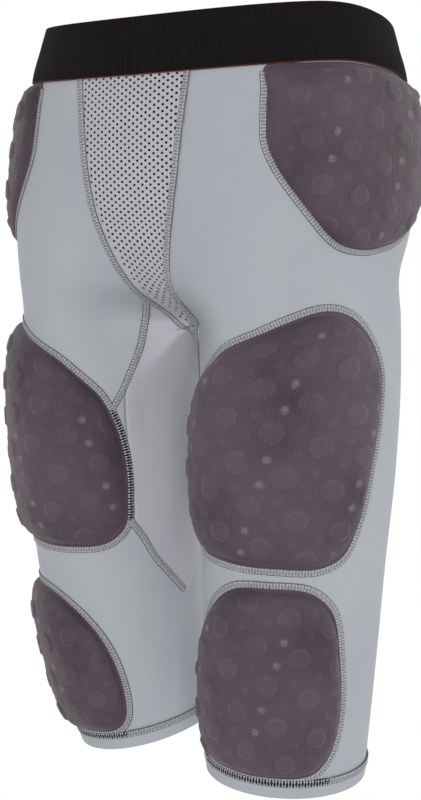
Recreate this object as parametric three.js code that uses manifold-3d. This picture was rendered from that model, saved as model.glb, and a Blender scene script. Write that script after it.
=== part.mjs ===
// A knee-length sports girdle with sewn-in hip, thigh and knee pads, in the shape it has when worn.
// Millimetres, +Z up. The wearer faces -Y and the wearer's left is +X.
// The origin is the middle of the waist opening, half-way up the waistband.

import * as THREE from "three";
import { mergeVertices } from "three/addons/utils/BufferGeometryUtils.js";
import Module from "manifold-3d";

const wasm = await Module();
wasm.setup();

// Walls and gaps
const fabricThickness = 1.5;
const elasticThickness = 2;
const hemThickness = 2.4;
const coverThickness = 1.8;
const pieceGap = 0.3;
const waistbandGap = 0.9;

// The trunk. The waistband dips a little in front and more behind.
const hipHalfWidth = 166;
const hipHalfDepth = 114;
const waistbandHeight = 41;
const waistbandLap = 9;
const frontDip = 8;
const backDip = 22;
const crotchDrop = 222;
const groinDrop = crotchDrop - 15;
const grooveSharpness = 22;

// The legs. The wearer stands on the left leg, and the right knee is bent in and back, which turns
// that leg's pads inwards (twist), slips them down (sag) and closes them up a little (shorten). Its
// inner thigh panel looks wider (innerWidth) and comes further forward at the top (innerReach).
const legLength = 342;
const legSpread = 92;
const legSway = -4;
const legForward = 10;
const thighHalfWidth = 74;
const thighHalfDepth = 88;
const hemHeight = 12.5;
const innerTurn = 60;
const innerLine = -90;
const kneeAlong = 0.42;
const sagRise = 4;
const poses = {
  left: {
    side: 1, lean: -1.5, swing: -1, kneeIn: 0, kneeBack: 0, twist: 0, sag: 0, shorten: 0,
    innerWidth: 0.84, innerReach: 0.55,
  },
  right: {
    side: -1, lean: 0.7, swing: 2, kneeIn: 12, kneeBack: 8, twist: 30, sag: 13.5, shorten: 0.24,
    innerWidth: 1, innerReach: 1,
  },
};

// Trunk sections, from the waistband's top to the groin. Drops are shares of crotchDrop, widths of
// hipHalfWidth and depths of hipHalfDepth. Sway is how far the section's middle lies to one side.
const waistRows = [
  { drop: -waistbandHeight / 2, sway: 0, width: 0.85, front: 0.91, back: 0.92, square: 2.2 },
  { drop: waistbandHeight / 2, sway: -2, width: 0.928, front: 0.93, back: 0.96, square: 2.3 },
];
const hipRows = [
  { drop: 0.36, sway: -4, width: 0.975, front: 0.95, back: 0.98, square: 2.5 },
  { drop: 0.6, sway: -8, width: 0.995, front: 0.97, back: 0.97, square: 2.5 },
  { drop: 0.78, sway: -11, width: 0.968, front: 0.985, back: 0.95, square: 2.4 },
];
const groinRow = { sway: -8, width: 0.966, front: 0.99, back: 0.94, square: 2.35 };

// How far the centre line lies inside each section in front and behind, as shares of hipHalfDepth
const valleys = [
  { front: 0, back: 0 },
  { front: 0, back: 0 },
  { front: 0, back: 0 },
  { front: 0.08, back: 0.05 },
  { front: 0.27, back: 0.16 },
  { front: 0.68, back: 0.4 },
];

// Leg sections. Along is a share of legLength, width of thighHalfWidth, depth of thighHalfDepth.
const legRows = [
  { along: 0.1, width: 0.99, depth: 0.98 },
  { along: 0.3, width: 0.985, depth: 0.95 },
  { along: 0.5, width: 0.94, depth: 0.87 },
  { along: 0.7, width: 0.905, depth: 0.81 },
  { along: 0.88, width: 0.865, depth: 0.76 },
  { along: 1.0, width: 0.835, depth: 0.73 },
];

// The front mesh panel: half its width as shares of hipHalfWidth, at shares of crotchDrop. It ends in
// a point under the crotch.
const meshSway = -3;
const meshBack = 12;
const meshEdge = [
  { drop: -0.05, half: 0.313 },
  { drop: 0.1, half: 0.304 },
  { drop: 0.28, half: 0.277 },
  { drop: 0.44, half: 0.25 },
  { drop: 0.56, half: 0.22 },
  { drop: 0.67, half: 0.181 },
  { drop: 0.76, half: 0.145 },
  { drop: 0.865, half: 0.102 },
  { drop: 0.9, half: 0.088 },
  { drop: 0.94, half: 0.066 },
  { drop: 0.97, half: 0.044 },
  { drop: 1.03, half: 0.03 },
];

// The inner thigh panel runs from the crotch to a point at the inside of the knee. Half its width is
// in degrees about the leg, either side of the leg's inner line, at shares of its length.
const innerPanelTop = crotchDrop - 32;
const innerPanelLength = legLength * 0.749;
const innerPanelEdge = [
  { along: -0.02, half: 43 },
  { along: 0.1, half: 42.5 },
  { along: 0.22, half: 39.5 },
  { along: 0.3, half: 41 },
  { along: 0.43, half: 40.5 },
  { along: 0.6, half: 39.5 },
  { along: 0.71, half: 38 },
  { along: 0.84, half: 26 },
  { along: 0.92, half: 14 },
  { along: 0.97, half: 6 },
  { along: 1.0, half: 1.5 },
];

// Above the groin the inner thigh panel runs up beside the mesh panel, in front only. Widths are from
// the mesh panel's middle, as shares of hipHalfWidth, at shares of crotchDrop.
const innerPanelPoint = [
  { drop: 0.82, half: -0.06 },
  { drop: 0.855, half: 0.09 },
  { drop: 0.92, half: 0.17 },
  { drop: 0.965, half: 0.196 },
  { drop: 1.07, half: 0.195 },
  { drop: 1.07, half: -0.06 },
];

// Pads: how far each stands out, its height, the degrees of the body that it wraps, and its middle.
// The hip pads hang from the waistband, and the others sit at shares of the leg.
const hipPad = { thickness: 10.5, height: crotchDrop * 0.595, wrap: 138, turn: 71 };
hipPad.drop = waistbandHeight / 2 + waistbandLap / 5 + hipPad.height / 2;
const thighPad = { thickness: 13, height: legLength * 0.573, wrap: 139, turn: 17.5 };
thighPad.drop = crotchDrop + legLength * 0.202;
const kneePad = { thickness: 12, height: legLength * 0.45, wrap: 120, turn: 11.5 };
kneePad.drop = crotchDrop + legLength - hemHeight - kneePad.height / 2 - pieceGap;

// Pad outlines, as shares of half the wrap and half the height from the pad's middle. Across is
// positive towards the outside of the body and up towards the waist.
const hipOutline = [
  { across: -0.94, up: 1 },
  { across: -0.98, up: 0.72 },
  { across: -1, up: 0.45 },
  { across: -1, up: 0.2 },
  { across: -0.91, up: -0.08 },
  { across: -0.7, up: -0.45 },
  { across: -0.45, up: -0.8 },
  { across: -0.25, up: -0.95 },
  { across: 0.06, up: -1 },
  { across: 0.35, up: -0.9 },
  { across: 0.65, up: -0.6 },
  { across: 0.9, up: -0.18 },
  { across: 1, up: 0.24 },
  { across: 1, up: 0.69 },
  { across: 0.96, up: 1 },
  { across: 0.6, up: 1 },
  { across: 0, up: 1 },
  { across: -0.6, up: 1 },
];
const thighOutline = [
  { across: 0.4, up: 1 },
  { across: 0.04, up: 0.94 },
  { across: -0.42, up: 0.75 },
  { across: -0.61, up: 0.57 },
  { across: -0.8, up: 0.37 },
  { across: -0.92, up: 0.14 },
  { across: -0.98, up: -0.12 },
  { across: -1, up: -0.51 },
  { across: -0.96, up: -0.81 },
  { across: -0.77, up: -0.96 },
  { across: -0.37, up: -1 },
  { across: 0.09, up: -1 },
  { across: 0.47, up: -0.99 },
  { across: 0.68, up: -0.9 },
  { across: 0.83, up: -0.62 },
  { across: 0.91, up: -0.28 },
  { across: 0.99, up: 0.18 },
  { across: 1, up: 0.5 },
  { across: 0.88, up: 0.75 },
  { across: 0.67, up: 0.93 },
];
const kneeOutline = [
  { across: 0.14, up: 1 },
  { across: -0.26, up: 0.95 },
  { across: -0.61, up: 0.71 },
  { across: -0.89, up: 0.25 },
  { across: -1, up: -0.34 },
  { across: -0.94, up: -0.8 },
  { across: -0.76, up: -0.97 },
  { across: -0.34, up: -1 },
  { across: 0.18, up: -1 },
  { across: 0.66, up: -0.96 },
  { across: 0.89, up: -0.75 },
  { across: 0.99, up: -0.34 },
  { across: 0.94, up: 0.23 },
  { across: 0.81, up: 0.75 },
  { across: 0.54, up: 0.97 },
];

// How the surfaces are divided. Columns crowd towards the front by this power.
const outerColumns = 15;
const columnCrowding = 1.2;
const innerColumns = 7;
const rowsPerSection = 2;
const padSpokes = 34;
const padShares = [0.3, 0.6, 0.8, 0.88, 0.94, 1];
const padDome = 5;
const blockSteps = 8;
const normalStep = 0.04;

// Depths from the body's surface that the cutting blocks reach, well past every wall
const cutOutside = 6;
const cutInside = -8;
const blockGap = 0.5;
const padFloor = -2.5;
const clearInside = -4;

const degrees = THREE.MathUtils.degToRad;
const groin = hipRows.length + waistRows.length;
const lastRow = groin + legRows.length;
const rowDrops = [
  ...waistRows.map((row) => row.drop),
  ...hipRows.map((row) => row.drop * crotchDrop),
  groinDrop,
  ...legRows.map((row) => crotchDrop + row.along * legLength),
];

// The row, counted from 0 at the waistband's top, that lies this far below the waist line.
function rowAt(drop) {
  let span = 0;
  while (span < lastRow - 1 && drop > rowDrops[span + 1]) span += 1;
  return span + (drop - rowDrops[span]) / (rowDrops[span + 1] - rowDrops[span]);
}

function signedPower(value, power) {
  return Math.sign(value) * Math.abs(value) ** power;
}

// A point of a trunk section. Share runs from 0 at the front centre to 1 at the back centre.
function trunkPoint(row, drop, side, share) {
  const angle = Math.PI * share;
  const power = 2 / row.square;
  const ahead = signedPower(Math.cos(angle), power);
  const valley = valleys[Math.round(rowAt(drop))][ahead > 0 ? "front" : "back"];
  const groove = valley * Math.abs(Math.cos(angle)) ** grooveSharpness;
  const depth = hipHalfDepth * ((ahead > 0 ? row.front : row.back) * Math.abs(ahead) - groove);
  const fade = THREE.MathUtils.clamp(1 - drop / crotchDrop, 0, 1);
  const behind = THREE.MathUtils.smoothstep(angle, Math.PI / 3, Math.PI * 0.85);
  const dip = frontDip * Math.max(ahead, 0) ** 2 + backDip * behind * fade;
  return new THREE.Vector3(
    row.sway + side * hipHalfWidth * row.width * signedPower(Math.sin(angle), power),
    ahead > 0 ? -depth : depth,
    -drop - dip,
  );
}

// A leg section's centre and its two directions, across and ahead, square to the leg's axis.
// It leans outwards and swings back from the hip, and turns in and back again below the thigh.
function legFrame(pose, along) {
  const angles = [pose.lean, pose.swing, pose.kneeIn, pose.kneeBack];
  const [lean, swing, inwards, back] = angles.map((angle) => Math.tan(degrees(angle)));
  const past = Math.max(along - kneeAlong, 0) / (1 - kneeAlong);
  const bent = (past * past * (1 - kneeAlong)) / 2;
  const centre = new THREE.Vector3(
    legSway + pose.side * (legSpread + (lean * along - inwards * bent) * legLength),
    (swing * along + back * bent) * legLength - legForward,
    -crotchDrop - along * legLength,
  );
  const down = new THREE.Vector3(pose.side * (lean - inwards * past), swing + back * past, -1);
  down.normalize();
  const across = new THREE.Vector3(pose.side, 0, 0).addScaledVector(down, -pose.side * down.x);
  across.normalize();
  const ahead = new THREE.Vector3().crossVectors(down, across).multiplyScalar(pose.side);
  return { centre, across, ahead };
}

// A point of a leg section. Turn is 0 at the front, 90 outside, 180 behind and 270 inside.
function legPoint(row, pose, turn) {
  const { centre, across, ahead } = legFrame(pose, row.along);
  return centre
    .addScaledVector(across, thighHalfWidth * row.width * Math.sin(degrees(turn)))
    .addScaledVector(ahead, thighHalfDepth * row.depth * Math.cos(degrees(turn)));
}

// The line between the legs, from behind (0) to the front (1).
function crotchPoint(share) {
  const front = trunkPoint(groinRow, groinDrop, 1, 0);
  const back = trunkPoint(groinRow, groinDrop, 1, 1);
  const point = back.lerp(front, share);
  const sag = crotchDrop + point.z;
  return new THREE.Vector3(0, point.y, point.z - sag * Math.sin(Math.PI * share));
}

const columnCache = new Map();

// The smooth line that runs down the garment at this turn, from the waist to the hem.
function column(pose, turn) {
  const key = `${pose.side} ${turn.toFixed(4)}`;
  if (columnCache.has(key)) return columnCache.get(key);
  const wrapped = turn > 180 + innerTurn ? turn - 360 : turn;
  let upper;
  if (wrapped >= -innerTurn - 1e-6) {
    const share = (wrapped + innerTurn) / (180 + 2 * innerTurn);
    const rows = [...waistRows, ...hipRows, groinRow];
    upper = rows.map((row, index) => trunkPoint(row, rowDrops[index], pose.side, share));
  } else {
    const share = (wrapped + 360 - 180 - innerTurn) / (180 - 2 * innerTurn);
    const other = pose === poses.left ? poses.right : poses.left;
    const across = legPoint(legRows[0], other, turn);
    upper = [...Array(groin).fill(across), crotchPoint(share)];
  }
  const lower = legRows.map((row) => legPoint(row, pose, turn));
  const curve = new THREE.CatmullRomCurve3([...upper, ...lower], false, "centripetal");
  columnCache.set(key, curve);
  return curve;
}

function bodyPoint(pose, turn, row) {
  return column(pose, turn).getPoint(THREE.MathUtils.clamp(row / lastRow, 0, 1));
}

function bodyNormal(pose, turn, row) {
  const below = bodyPoint(pose, turn, row + normalStep);
  const down = below.sub(bodyPoint(pose, turn, row - normalStep));
  const around = bodyPoint(pose, turn + 1, row).sub(bodyPoint(pose, turn - 1, row));
  return down.cross(around).multiplyScalar(pose.side).normalize();
}

// Solids and geometries

function solidOf(geometry) {
  const bare = geometry.clone();
  bare.deleteAttribute("normal");
  bare.deleteAttribute("uv");
  const merged = mergeVertices(bare, 1e-3);
  const triVerts = new Uint32Array(merged.index.array);
  return new wasm.Manifold(
    new wasm.Mesh({ numProp: 3, vertProperties: merged.attributes.position.array, triVerts }),
  );
}

function geometryOf(solid) {
  const mesh = solid.getMesh();
  const geometry = new THREE.BufferGeometry();
  geometry.setAttribute("position", new THREE.BufferAttribute(mesh.vertProperties, 3));
  geometry.setIndex(new THREE.BufferAttribute(mesh.triVerts, 1));
  geometry.computeVertexNormals();
  return geometry;
}

function triangleGeometry(triangles) {
  return new THREE.BufferGeometry().setFromPoints(triangles.flat());
}

// The open sheet of the garment between two rows, as triangles that face outwards.
function sheetTriangles(pose, rows) {
  const outer = Array.from({ length: outerColumns + 1 }, (_, i) =>
    -innerTurn + (180 + 2 * innerTurn) * (i / outerColumns) ** columnCrowding);
  const inner = Array.from({ length: innerColumns + 1 }, (_, i) =>
    180 + innerTurn + ((180 - 2 * innerTurn) * i) / innerColumns);
  const triangles = [];
  for (let r = 0; r + 1 < rows.length; r += 1) {
    for (const turns of rows[r] < groin ? [outer] : [outer, inner]) {
      for (let c = 0; c + 1 < turns.length; c += 1) {
        const corner = (turn, row) => {
          const point = bodyPoint(pose, turn, row);
          const centred = turns === inner || turn === outer[0] || turn === outer.at(-1);
          if (centred && row <= groin) point.x = 0;
          return point;
        };
        const a = corner(turns[c], rows[r]);
        const b = corner(turns[c + 1], rows[r]);
        const d = corner(turns[c + 1], rows[r + 1]);
        const e = corner(turns[c], rows[r + 1]);
        triangles.push(pose.side > 0 ? [a, e, b] : [a, b, e]);
        triangles.push(pose.side > 0 ? [b, e, d] : [b, d, e]);
      }
    }
  }
  return triangles;
}

// A wall between two offsets from a sheet, closed along the sheet's open edges.
function wall(triangles, outside, inside) {
  const sheet = mergeVertices(triangleGeometry(triangles), 1e-2);
  sheet.computeVertexNormals();
  const { position, normal } = sheet.attributes;
  const index = sheet.index.array;
  const at = (i, offset) =>
    new THREE.Vector3()
      .fromBufferAttribute(position, i)
      .addScaledVector(new THREE.Vector3().fromBufferAttribute(normal, i), offset);
  const edges = new Set();
  const faces = [];
  for (let i = 0; i < index.length; i += 3) {
    const [a, b, c] = index.slice(i, i + 3);
    if (a === b || b === c || c === a) continue;
    faces.push([at(a, outside), at(b, outside), at(c, outside)]);
    faces.push([at(a, inside), at(c, inside), at(b, inside)]);
    for (const [from, to] of [[a, b], [b, c], [c, a]]) edges.add(`${from} ${to}`);
  }
  for (const edge of edges) {
    const [from, to] = edge.split(" ").map(Number);
    if (edges.has(`${to} ${from}`)) continue;
    faces.push([at(from, outside), at(from, inside), at(to, outside)]);
    faces.push([at(to, outside), at(from, inside), at(to, inside)]);
  }
  return solidOf(triangleGeometry(faces));
}

// Rows between two drops, with every section's own row and steps between them.
function rowsBetween(from, to) {
  const [first, last] = [rowAt(from), rowAt(to)];
  const rows = [first];
  for (let row = Math.floor(first) + 1; row < last + 1; row += 1) {
    const end = Math.min(row, last);
    const start = rows.at(-1);
    const steps = Math.max(1, Math.round((end - start) * rowsPerSection));
    for (let step = 1; step <= steps; step += 1) rows.push(start + ((end - start) * step) / steps);
  }
  return rows;
}

function bothSides(rows) {
  return [...sheetTriangles(poses.left, rows), ...sheetTriangles(poses.right, rows)];
}

const hemDrop = crotchDrop + legLength;
const hemTop = hemDrop - hemHeight;
const shellTop = waistbandHeight / 2 - waistbandLap;
const shell = wall(bothSides(rowsBetween(shellTop, hemTop)), 0, -fabricThickness);
const underPads = wall(bothSides(rowsBetween(shellTop, hemDrop)), pieceGap, clearInside);

// A closed patch that lies on the body between two depths. The outline is a closed curve in turn and
// drop; height gives the top's offset at each share of the way from the outline's middle to its edge.
function patch(pose, outline, middle, shares, height, floor) {
  const spokes = Array.from({ length: padSpokes }, (_, i) => outline.getPoint(i / padSpokes));
  const place = (spoke, share, offset) => {
    const turn = middle.x + (spoke.x - middle.x) * share;
    const row = rowAt(middle.y + (spoke.y - middle.y) * share);
    return bodyPoint(pose, turn, row).addScaledVector(bodyNormal(pose, turn, row), offset);
  };
  const rings = shares.map((share) => spokes.map((spoke) => place(spoke, share, height(share))));
  const floors = shares.map((share) => spokes.map((spoke) => place(spoke, share, floor)));
  const faces = [];
  const quad = (a, b, c, d) => faces.push([a, b, c], [a, c, d]);
  for (let i = 0; i < padSpokes; i += 1) {
    const next = (i + 1) % padSpokes;
    faces.push([place(middle, 0, height(0)), rings[0][i], rings[0][next]]);
    faces.push([place(middle, 0, floor), floors[0][next], floors[0][i]]);
    for (let r = 0; r + 1 < shares.length; r += 1) {
      quad(rings[r][i], rings[r + 1][i], rings[r + 1][next], rings[r][next]);
      quad(floors[r][i], floors[r][next], floors[r + 1][next], floors[r + 1][i]);
    }
    quad(rings.at(-1)[i], floors.at(-1)[i], floors.at(-1)[next], rings.at(-1)[next]);
  }
  if (pose.side < 0) faces.forEach((face) => face.reverse());
  return solidOf(triangleGeometry(faces));
}

// How far down the leg a pad's middle lies, as a share of the leg. It is 0 for the hip pads.
function padAlong(pad) {
  return Math.max(pad.drop - crotchDrop, 0) / legLength;
}

// A pad's middle on this leg. Low pads turn and slip with the leg.
function padMiddle(pose, pad) {
  const along = padAlong(pad);
  const drop = pad.drop + pose.sag * Math.min(along * sagRise, 1);
  return new THREE.Vector3(pad.turn + pose.twist * along ** 2, drop, 0);
}

function outlineCurve(pose, pad, outline) {
  const middle = padMiddle(pose, pad);
  const halfWrap = pad.wrap / 2;
  const halfHeight = (pad.height / 2) * (1 - pose.shorten * padAlong(pad));
  const points = outline.map(
    ({ across, up }) =>
      new THREE.Vector3(middle.x + across * halfWrap, middle.y - up * halfHeight, 0),
  );
  return new THREE.CatmullRomCurve3(points, true, "centripetal");
}

// The cover lies flat at its sewn edge and rises over the foam to the pad's full thickness.
function padHeight(pad) {
  const edge = padShares.at(-2);
  return (share) => {
    if (share >= edge) return pieceGap + coverThickness;
    const rise = 1 - (share / edge) ** padDome;
    return pieceGap + coverThickness + (pad.thickness - coverThickness) * Math.sqrt(rise);
  };
}

function padSolid(pose, pad, outline) {
  const curve = outlineCurve(pose, pad, outline);
  const body = patch(pose, curve, padMiddle(pose, pad), padShares, padHeight(pad), padFloor);
  return body.subtract(underPads);
}

const cloths = {
  grey: { color: 0xa9adb3, roughness: 0.6, metalness: 0 },
  mesh: { color: 0xb9bac1, roughness: 0.8, metalness: 0 },
  black: { color: 0x17151a, roughness: 0.85, metalness: 0 },
  plum: { color: 0x51474f, roughness: 0.7, metalness: 0 },
};

// A straight-sided block through the garment's front, from an outline about the mesh panel's middle.
function frontBlock(outline) {
  const shape = new THREE.Shape(outline);
  const block = new THREE.ExtrudeGeometry(shape, { depth: 2 * hipHalfDepth, bevelEnabled: false });
  block.rotateX(Math.PI / 2);
  block.translate(meshSway, -meshBack, 0);
  return solidOf(block);
}

// One side of such an outline, made this much wider.
function frontEdge(edge, side, extra, reach = 1) {
  return edge.map(
    ({ drop, half }) =>
      new THREE.Vector2(side * (half * reach * hipHalfWidth + extra), -drop * crotchDrop),
  );
}

function meshBlock(extra) {
  return frontBlock([...frontEdge(meshEdge, 1, extra), ...frontEdge(meshEdge, -1, extra).reverse()]);
}

// A thick patch through one leg's inner side with the inner thigh panel's outline, made this many
// degrees wider. It starts across the centre line, between the legs.
function innerBlock(pose, extra) {
  const edge = innerPanelEdge.map(({ along, half }) =>
    new THREE.Vector2(half, innerPanelTop + along * innerPanelLength));
  edge.at(-1).y += extra;
  const first = edge.findLastIndex((point) => point.y <= groinDrop);
  const ring = (point, index, offset) =>
    Array.from({ length: blockSteps + 1 }, (_, step) => {
      const share = 1 - (2 * step) / blockSteps;
      const turn = innerLine + point.x * share * pose.innerWidth + extra * Math.trunc(share);
      const row = rowAt(Math.max(point.y, groinDrop));
      const outward = bodyNormal(pose, turn, Math.max(row, groin + normalStep));
      const place = bodyPoint(pose, turn, row).addScaledVector(outward, offset);
      if (index === 0) place.add(new THREE.Vector3(-pose.side * cutOutside, 0, extra));
      return place;
    });
  const rings = edge.slice(first).map((point, index) => ({
    outer: ring(point, index, cutOutside),
    inner: ring(point, index, cutInside),
  }));
  const faces = [];
  const quad = (a, b, c, d) => faces.push([a, b, c], [a, c, d]);
  rings.forEach(({ outer, inner }, index) => {
    const next = rings[index + 1];
    for (let step = 0; step < blockSteps; step += 1) {
      if (index === 0) quad(outer[step], outer[step + 1], inner[step + 1], inner[step]);
      if (!next) quad(outer[step + 1], outer[step], inner[step], inner[step + 1]);
      else {
        quad(outer[step], next.outer[step], next.outer[step + 1], outer[step + 1]);
        quad(inner[step + 1], next.inner[step + 1], next.inner[step], inner[step]);
      }
    }
    if (!next) return;
    quad(outer[0], inner[0], next.inner[0], next.outer[0]);
    quad(outer[blockSteps], next.outer[blockSteps], next.inner[blockSteps], inner[blockSteps]);
  });
  if (pose.side > 0) faces.forEach((face) => face.reverse());
  const edgeGap = Math.min(extra, pieceGap);
  const point = frontBlock(frontEdge(innerPanelPoint, pose.side, edgeGap, pose.innerReach));
  return solidOf(triangleGeometry(faces)).add(point);
}

const girdle = new THREE.Group();

function addPiece(name, solid, cloth) {
  const mesh = new THREE.Mesh(geometryOf(solid), new THREE.MeshStandardMaterial(cloths[cloth]));
  mesh.name = name;
  girdle.add(mesh);
}

function half(side) {
  const size = 2000;
  const box = new THREE.BoxGeometry(size, size, size);
  box.translate((side * (size + pieceGap)) / 2, 0, 0);
  return solidOf(box);
}

const meshPanel = shell.intersect(meshBlock(0));
const besideMesh = shell.subtract(meshBlock(pieceGap));
const hemSheet = bothSides(rowsBetween(hemTop + pieceGap, hemDrop));
const hems = wall(hemSheet, hemThickness - fabricThickness, -fabricThickness);

for (const [name, pose] of Object.entries(poses)) {
  const panels = besideMesh.intersect(half(pose.side));
  addPiece(`body_panel_${name}`, panels.subtract(innerBlock(pose, blockGap)), "grey");
  addPiece(`inner_thigh_panel_${name}`, panels.intersect(innerBlock(pose, 0)), "grey");
  addPiece(`hip_pad_${name}`, padSolid(pose, hipPad, hipOutline), "plum");
  addPiece(`thigh_pad_${name}`, padSolid(pose, thighPad, thighOutline), "plum");
  addPiece(`knee_pad_${name}`, padSolid(pose, kneePad, kneeOutline), "plum");
  addPiece(`leg_hem_${name}`, hems.intersect(half(pose.side)), "grey");
}
addPiece("mesh_front_panel", meshPanel, "mesh");
addPiece(
  "waistband",
  wall(
    bothSides(rowsBetween(-waistbandHeight / 2, waistbandHeight / 2)),
    waistbandGap + elasticThickness,
    waistbandGap,
  ),
  "black",
);

export default girdle;
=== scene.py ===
# Padded sports girdle in its worn shape: knitted panels, pierced front, studded pads, seams.
# Flat pieces are added as grids, then laid onto the worn form. Millimetres until they are laid.
import math

import bpy
import numpy as np
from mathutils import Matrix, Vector
from mathutils.bvhtree import BVHTree


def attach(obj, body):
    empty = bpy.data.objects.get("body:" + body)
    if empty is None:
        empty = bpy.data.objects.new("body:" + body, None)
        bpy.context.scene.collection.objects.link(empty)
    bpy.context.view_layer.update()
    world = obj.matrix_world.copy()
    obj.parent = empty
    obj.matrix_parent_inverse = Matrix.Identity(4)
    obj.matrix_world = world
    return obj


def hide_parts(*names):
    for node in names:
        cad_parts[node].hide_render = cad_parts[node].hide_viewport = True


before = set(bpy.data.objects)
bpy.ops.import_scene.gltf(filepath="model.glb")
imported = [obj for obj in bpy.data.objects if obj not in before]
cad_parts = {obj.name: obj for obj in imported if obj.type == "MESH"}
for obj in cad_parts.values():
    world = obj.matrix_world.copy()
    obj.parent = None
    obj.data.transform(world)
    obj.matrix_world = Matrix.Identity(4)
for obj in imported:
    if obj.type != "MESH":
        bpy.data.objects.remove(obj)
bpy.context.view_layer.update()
millimetre = 0.001

# The worn form, with the same sizes as the solids
waistHalf = 20.5
hemHeight = 12.5
trunkForm = {
    "halfWidth": 166,
    "halfDepth": 114,
    "frontDip": 8,
    "backDip": 22,
    "crotchDrop": 222,
    "grooveSharpness": 22,
    # drop, sway, width, front, back, squareness, groove in front, groove behind
    "sections": [
        (-waistHalf, 0, 0.85, 0.91, 0.92, 2.2, 0, 0),
        (waistHalf, -2, 0.928, 0.93, 0.96, 2.3, 0, 0),
        (79.92, -4, 0.975, 0.95, 0.98, 2.5, 0, 0),
        (133.2, -8, 0.995, 0.97, 0.97, 2.5, 0.08, 0.05),
        (173.16, -11, 0.968, 0.985, 0.95, 2.4, 0.27, 0.16),
        (207, -8, 0.966, 0.99, 0.94, 2.35, 0.68, 0.4),
    ],
}
legForm = {
    "length": 342,
    "spread": 92,
    "sway": -4,
    "forward": 10,
    "halfWidth": 74,
    "halfDepth": 88,
    "innerTurn": 60,
    "kneeAlong": 0.42,
    # along, width, depth
    "sections": [
        (0.1, 0.99, 0.98),
        (0.3, 0.985, 0.95),
        (0.5, 0.94, 0.87),
        (0.7, 0.905, 0.81),
        (0.88, 0.865, 0.76),
        (1.0, 0.835, 0.73),
    ],
}
poses = {
    "left": {"side": 1, "lean": -1.5, "swing": -1, "kneeIn": 0, "kneeBack": 0,
             "twist": 0, "sag": 0, "shorten": 0, "innerWidth": 0.84, "innerReach": 0.55},
    "right": {"side": -1, "lean": 0.7, "swing": 2, "kneeIn": 12, "kneeBack": 8,
              "twist": 30, "sag": 13.5, "shorten": 0.24, "innerWidth": 1, "innerReach": 1},
}
groinDrop = trunkForm["sections"][-1][0]
groinRow = len(trunkForm["sections"]) - 1
hemDrop = trunkForm["crotchDrop"] + legForm["length"]
hemTop = hemDrop - hemHeight
sectionDrops = [section[0] for section in trunkForm["sections"]] + [
    trunkForm["crotchDrop"] + section[0] * legForm["length"] for section in legForm["sections"]]
# the turns at the trunk's front and back centre
frontTurn, backTurn = -legForm["innerTurn"], 180 + legForm["innerTurn"]


def rowAt(drop):
    return np.interp(drop, sectionDrops, np.arange(len(sectionDrops)))


def signedPower(value, power):
    return np.sign(value) * np.abs(value) ** power


def smoothStep(value, low, high):
    share = np.clip((value - low) / (high - low), 0, 1)
    return share * share * (3 - 2 * share)


def bell(value, middle, spread):
    return np.exp(-((value - middle) / spread) ** 2)


def unit(vectors):
    return vectors / np.maximum(np.linalg.norm(vectors, axis=1), 1e-9)[:, None]


def atCentre(turn):
    return (turn < frontTurn + 0.01) | (turn > backTurn - 0.01)


def trunkPoints(section, side, share):  # share: 0 at the front centre, 1 at the back centre
    drop, sway, width, front, back, square, frontGroove, backGroove = section
    angle = np.pi * share
    power = 2 / square
    ahead = signedPower(np.cos(angle), power)
    groove = np.where(ahead > 0, frontGroove, backGroove)
    groove = groove * np.abs(np.cos(angle)) ** trunkForm["grooveSharpness"]
    depth = trunkForm["halfDepth"] * (np.where(ahead > 0, front, back) * np.abs(ahead) - groove)
    fade = np.clip(1 - drop / trunkForm["crotchDrop"], 0, 1)
    behind = smoothStep(angle, np.pi / 3, np.pi * 0.85)
    dip = trunkForm["frontDip"] * np.maximum(ahead, 0) ** 2 + trunkForm["backDip"] * behind * fade
    across = sway + side * trunkForm["halfWidth"] * width * signedPower(np.sin(angle), power)
    return np.stack([across, np.where(ahead > 0, -depth, depth), -drop - dip], -1)


def legPoints(section, pose, turn):  # turn: 0 front, 90 outside, 180 behind, 270 inside
    along, width, depth = section
    lean, swing, inwards, back = [math.tan(math.radians(pose[key]))
                                  for key in ("lean", "swing", "kneeIn", "kneeBack")]
    knee = legForm["kneeAlong"]
    past = max(along - knee, 0) / (1 - knee)
    bent = past * past * (1 - knee) / 2
    length = legForm["length"]
    centre = Vector((
        legForm["sway"] + pose["side"] * (legForm["spread"] + (lean * along - inwards * bent) * length),
        (swing * along + back * bent) * length - legForm["forward"],
        -trunkForm["crotchDrop"] - along * length))
    down = Vector((pose["side"] * (lean - inwards * past), swing + back * past, -1)).normalized()
    across = Vector((pose["side"], 0, 0))
    across = (across - down * pose["side"] * down.x).normalized()
    ahead = down.cross(across) * pose["side"]
    angle = np.radians(turn)[:, None]
    return (np.array(centre) + np.array(across) * legForm["halfWidth"] * width * np.sin(angle)
            + np.array(ahead) * legForm["halfDepth"] * depth * np.cos(angle))


def crotchPoints(share):
    front = trunkPoints(trunkForm["sections"][-1], 1, np.zeros(1))[0]
    back = trunkPoints(trunkForm["sections"][-1], 1, np.ones(1))[0]
    points = back + (front - back) * share[:, None]
    points[:, 0] = 0
    points[:, 2] -= (trunkForm["crotchDrop"] + points[:, 2]) * np.sin(np.pi * share)
    return points


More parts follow.
